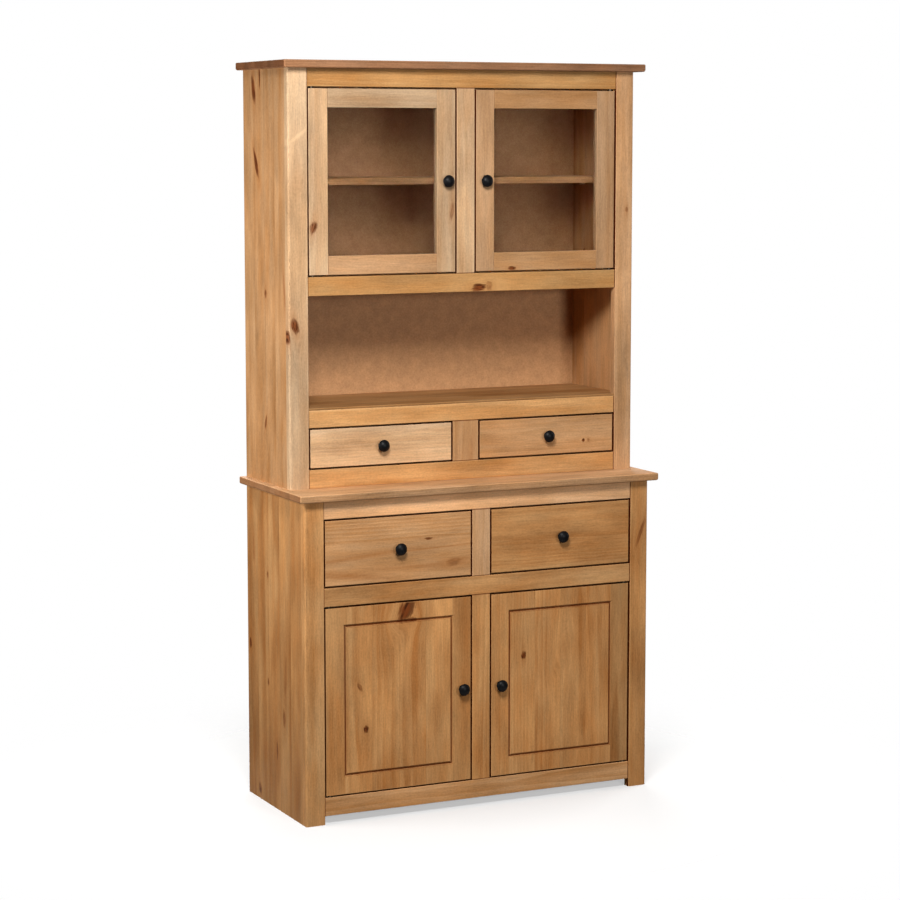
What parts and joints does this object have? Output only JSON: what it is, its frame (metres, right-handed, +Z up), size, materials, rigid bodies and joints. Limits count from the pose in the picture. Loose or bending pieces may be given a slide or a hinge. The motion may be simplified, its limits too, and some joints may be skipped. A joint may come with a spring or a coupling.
{
  "type": "highboard",
  "caption": "Tall pine dresser: a base cupboard with drawers and panelled doors carries a hutch with small drawers, an open niche and glazed doors over a shelf.",
  "frame": {"origin": "centre of the bounding box, on the floor", "axes": "+Z up, +Y to the back, +X to the right of someone facing the front"},
  "size_m": [0.945, 0.386, 1.771],
  "materials": {
    "pine": "waxed honey pine",
    "inner_pine": "plain sanded pine",
    "hardboard": "smooth hardboard",
    "peg_wood": "fluted hardwood",
    "glass": "clear float glass",
    "black_iron": "satin black",
    "steel": "zinc plated"
  },
  "bodies": {
    "carcass": {"base_back": "hardboard", "base_bottom_rail": "pine", "base_door_divider": "pine", "base_drawer_divider": "pine", "base_floor": "pine", "base_middle_rail": "pine", "base_shelf": "pine", "base_side_left": "pine", "base_side_right": "pine", "base_stile_left": "pine", "base_stile_right": "pine", "base_top": "pine", "base_top_rail": "pine", "cabinet_floor": "pine", "cabinet_shelf": "pine", "drawer_partitions": "inner_pine", "drawer_runners": "inner_pine", "hinge_pivots": "steel", "hutch_back": "hardboard", "hutch_bottom_rail": "pine", "hutch_door_mullion": "pine", "hutch_door_rail": "pine", "hutch_drawer_divider": "pine", "hutch_side_left": "pine", "hutch_side_right": "pine", "hutch_stile_left": "pine", "hutch_stile_right": "pine", "hutch_top": "pine", "hutch_top_rail": "pine", "niche_floor": "pine", "niche_rail": "pine", "wooden_pegs": "peg_wood"},
    "glass_door_left": {"glass_door_left_beads": "pine", "glass_door_left_frame": "pine", "glass_door_left_hinge_plates": "steel", "glass_door_left_knob": "black_iron", "glass_door_left_pane": "glass"},
    "glass_door_right": {"glass_door_right_beads": "pine", "glass_door_right_frame": "pine", "glass_door_right_hinge_plates": "steel", "glass_door_right_knob": "black_iron", "glass_door_right_pane": "glass"},
    "panel_door_left": {"panel_door_left_boards": "pine", "panel_door_left_hinge_plates": "steel", "panel_door_left_knob": "black_iron"},
    "panel_door_right": {"panel_door_right_boards": "pine", "panel_door_right_hinge_plates": "steel", "panel_door_right_knob": "black_iron"},
    "base_drawer_left": {"base_drawer_left_box": "inner_pine", "base_drawer_left_front": "pine", "base_drawer_left_knob": "black_iron"},
    "base_drawer_right": {"base_drawer_right_box": "inner_pine", "base_drawer_right_front": "pine", "base_drawer_right_knob": "black_iron"},
    "hutch_drawer_left": {"hutch_drawer_left_box": "inner_pine", "hutch_drawer_left_front": "pine", "hutch_drawer_left_knob": "black_iron"},
    "hutch_drawer_right": {"hutch_drawer_right_box": "inner_pine", "hutch_drawer_right_front": "pine", "hutch_drawer_right_knob": "black_iron"}
  },
  "joints": [
    {"name": "glass_door_left_hinge", "type": "hinge", "parent": "carcass", "child": "glass_door_left", "pos_m": [-0.392, -0.079, 1.4925], "axis": [0, 0, -1], "range_deg": [0, 110]},
    {"name": "panel_door_left_hinge", "type": "hinge", "parent": "carcass", "child": "panel_door_left", "pos_m": [-0.392, -0.164, 0.2895], "axis": [0, 0, -1], "range_deg": [0, 110]},
    {"name": "base_drawer_left_slide", "type": "slide", "parent": "carcass", "child": "base_drawer_left", "axis": [0, -1, 0], "range_m": [0, 0.24]},
    {"name": "hutch_drawer_left_slide", "type": "slide", "parent": "carcass", "child": "hutch_drawer_left", "axis": [0, -1, 0], "range_m": [0, 0.17]},
    {"name": "glass_door_right_hinge", "type": "hinge", "parent": "carcass", "child": "glass_door_right", "pos_m": [0.392, -0.079, 1.4925], "axis": [0, 0, 1], "range_deg": [0, 110]},
    {"name": "panel_door_right_hinge", "type": "hinge", "parent": "carcass", "child": "panel_door_right", "pos_m": [0.392, -0.164, 0.2895], "axis": [0, 0, 1], "range_deg": [0, 110]},
    {"name": "base_drawer_right_slide", "type": "slide", "parent": "carcass", "child": "base_drawer_right", "axis": [0, -1, 0], "range_m": [0, 0.24]},
    {"name": "hutch_drawer_right_slide", "type": "slide", "parent": "carcass", "child": "hutch_drawer_right", "axis": [0, -1, 0], "range_m": [0, 0.17]}
  ]
}
